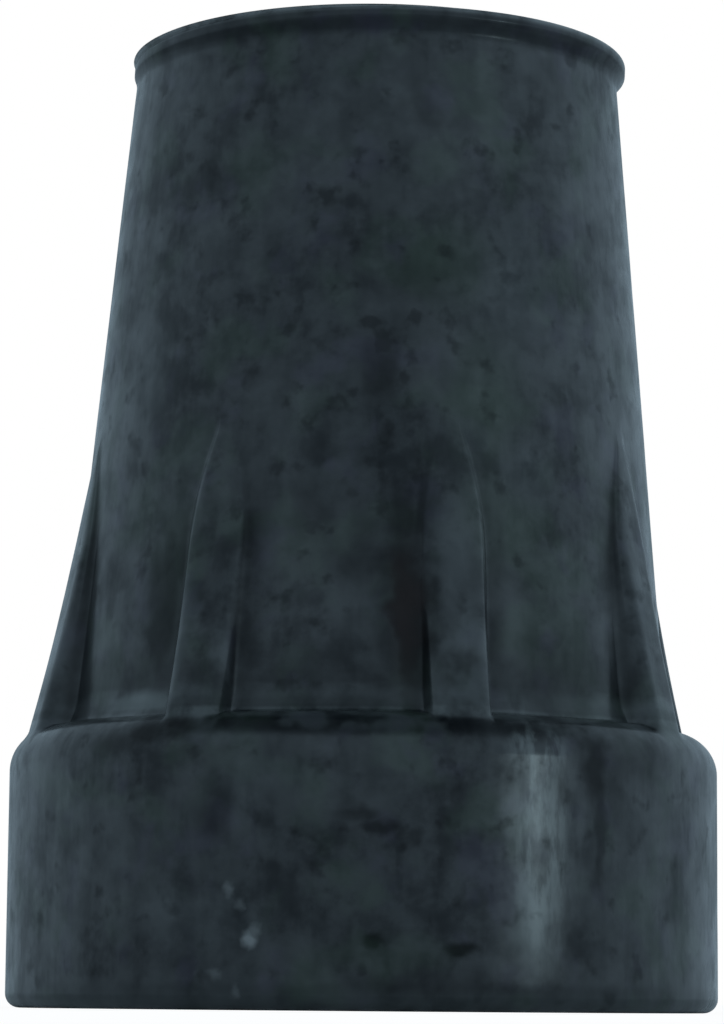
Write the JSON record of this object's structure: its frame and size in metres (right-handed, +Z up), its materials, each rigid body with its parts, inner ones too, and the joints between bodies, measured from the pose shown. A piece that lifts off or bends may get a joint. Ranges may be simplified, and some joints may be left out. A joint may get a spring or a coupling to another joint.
{
  "type": "rubber cane tip",
  "caption": "Black rubber cane tip: a tapered shaft with a thin lip and pointed flared ribs, on a wide round base, with a blind socket for the cane and a grooved tread.",
  "frame": {"origin": "centre of the tread, on the floor plane", "axes": "+Z up the axis of the socket, towards the mouth; +X through the middle of one rib"},
  "size_m": [0.04, 0.04, 0.0545],
  "materials": {
    "rubber": "moulded black rubber, half matt, with a faint bluish bloom and light scuffs"
  },
  "bodies": {
    "root": {"cane_tip": "rubber"}
  },
  "joints": []
}
